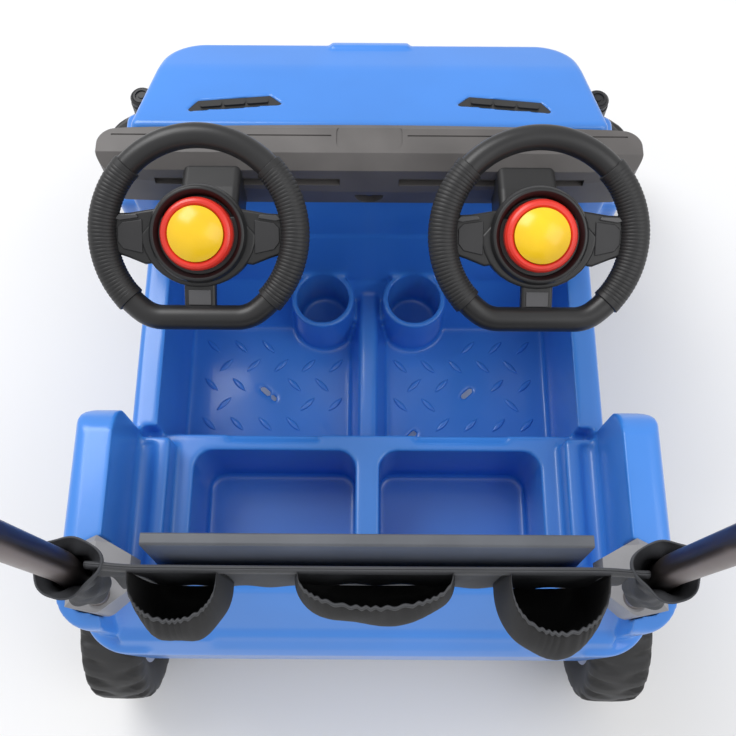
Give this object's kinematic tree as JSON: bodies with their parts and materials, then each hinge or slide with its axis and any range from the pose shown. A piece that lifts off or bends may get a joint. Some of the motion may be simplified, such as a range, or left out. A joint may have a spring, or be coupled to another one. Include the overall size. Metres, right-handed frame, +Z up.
{
  "type": "ride-on push wagon",
  "caption": "Side-by-side push-along ride-on wagon for small children with play steering wheels, storage under a lidded bench, swivel front wheels and a parent push handle with an organiser.",
  "frame": {"origin": "on the floor under the middle of the whole object, push handle included", "axes": "+Y towards the front of the wagon, +X to a seated child's right, +Z up"},
  "size_m": [0.8572, 1.12, 1.021],
  "materials": {
    "body_blue": "satin-gloss moulded polyethylene",
    "trim_black": "fine-grained",
    "dash_grey": "fine-grained",
    "lid_grey": "smooth satin",
    "bracket_grey": "smooth satin",
    "tube_brown": "warm dark-grey metallic powder coat",
    "grip_foam": "matt foam",
    "steel": "zinc plated",
    "button_red": "glossy",
    "button_yellow": "glossy",
    "tyre_black": "matt moulded tread",
    "rim_grey": "satin",
    "organiser_fabric": "charcoal heather weave",
    "pocket_mesh": "black stretch mesh",
    "lamp_white": "glossy"
  },
  "bodies": {
    "chassis": {"body_shell": "body_blue", "hood": "body_blue", "hood_vent_left": "trim_black", "hood_vent_right": "trim_black", "caster_socket_left": "trim_black", "caster_socket_right": "trim_black", "column_mount_left": "trim_black", "column_mount_right": "trim_black", "front_grille": "trim_black", "front_bumper": "trim_black", "axle_cap_left": "trim_black", "axle_cap_right": "trim_black", "dashboard": "dash_grey", "handle_bracket_left": "bracket_grey", "handle_bracket_right": "bracket_grey", "handle_tube": "tube_brown", "handle_grip": "grip_foam", "bracket_screws": "steel", "rear_axle": "steel", "organiser_sleeve_left": "organiser_fabric", "pocket_left": "pocket_mesh", "head_lamp_left": "lamp_white", "organiser_sleeve_right": "organiser_fabric", "pocket_right": "pocket_mesh", "head_lamp_right": "lamp_white", "organiser_band": "organiser_fabric", "pocket_centre": "organiser_fabric"},
    "lid": {"seat_lid": "lid_grey", "lid_hinge_pins": "steel"},
    "steering_left": {"steering_wheel_left": "trim_black", "spoke_trim_left": "dash_grey", "rim_grips_left": "grip_foam", "horn_ring_left": "button_red", "horn_spring_left": "steel"},
    "horn_left": {"horn_button_left": "button_yellow"},
    "steering_right": {"steering_wheel_right": "trim_black", "spoke_trim_right": "dash_grey", "rim_grips_right": "grip_foam", "horn_ring_right": "button_red", "horn_spring_right": "steel"},
    "horn_right": {"horn_button_right": "button_yellow"},
    "rear_wheel_left": {"rear_tyre_left": "tyre_black", "rear_rim_left": "rim_grey"},
    "caster_left": {"caster_fork_left": "trim_black", "caster_stem_left": "trim_black", "front_axle_left": "steel"},
    "front_wheel_left": {"front_tyre_left": "tyre_black", "front_rim_left": "rim_grey"},
    "rear_wheel_right": {"rear_tyre_right": "tyre_black", "rear_rim_right": "rim_grey"},
    "caster_right": {"caster_fork_right": "trim_black", "caster_stem_right": "trim_black", "front_axle_right": "steel"},
    "front_wheel_right": {"front_tyre_right": "tyre_black", "front_rim_right": "rim_grey"}
  },
  "joints": [
    {"name": "lid_hinge", "type": "hinge", "parent": "chassis", "child": "lid", "pos_m": [0, -0.226, 0.2974], "axis": [1, 0, 0], "range_deg": [-85, 3]},
    {"name": "steering_turn_left", "type": "hinge", "parent": "chassis", "child": "steering_left", "pos_m": [-0.189, 0.112, 0.545], "axis": [0, -0.4695, 0.8829], "continuous": true},
    {"name": "horn_press_left", "type": "slide", "parent": "steering_left", "child": "horn_left", "axis": [0, 0.4695, -0.8829], "range_m": [0, 0.004], "stiffness_N_per_m": 300, "springref_m": -0.004, "deforming": ["horn_spring_left"]},
    {"name": "steering_turn_right", "type": "hinge", "parent": "chassis", "child": "steering_right", "pos_m": [0.189, 0.112, 0.545], "axis": [0, -0.4695, 0.8829], "continuous": true},
    {"name": "horn_press_right", "type": "slide", "parent": "steering_right", "child": "horn_right", "axis": [0, 0.4695, -0.8829], "range_m": [0, 0.004], "stiffness_N_per_m": 300, "springref_m": -0.004, "deforming": ["horn_spring_right"]},
    {"name": "rear_wheel_spin_left", "type": "hinge", "parent": "chassis", "child": "rear_wheel_left", "pos_m": [-0.332, -0.258, 0.12], "axis": [1, 0, 0], "continuous": true},
    {"name": "caster_swivel_left", "type": "hinge", "parent": "chassis", "child": "caster_left", "pos_m": [-0.315, 0.405, 0.26], "axis": [0, 0, 1], "continuous": true},
    {"name": "front_wheel_spin_left", "type": "hinge", "parent": "caster_left", "child": "front_wheel_left", "pos_m": [-0.33787, 0.43535, 0.12], "axis": [0.7986, 0.6018, 0], "continuous": true},
    {"name": "rear_wheel_spin_right", "type": "hinge", "parent": "chassis", "child": "rear_wheel_right", "pos_m": [0.332, -0.258, 0.12], "axis": [1, 0, 0], "continuous": true},
    {"name": "caster_swivel_right", "type": "hinge", "parent": "chassis", "child": "caster_right", "pos_m": [0.315, 0.405, 0.26], "axis": [0, 0, 1], "continuous": true},
    {"name": "front_wheel_spin_right", "type": "hinge", "parent": "caster_right", "child": "front_wheel_right", "pos_m": [0.33787, 0.43535, 0.12], "axis": [0.7986, -0.6018, 0], "continuous": true}
  ]
}
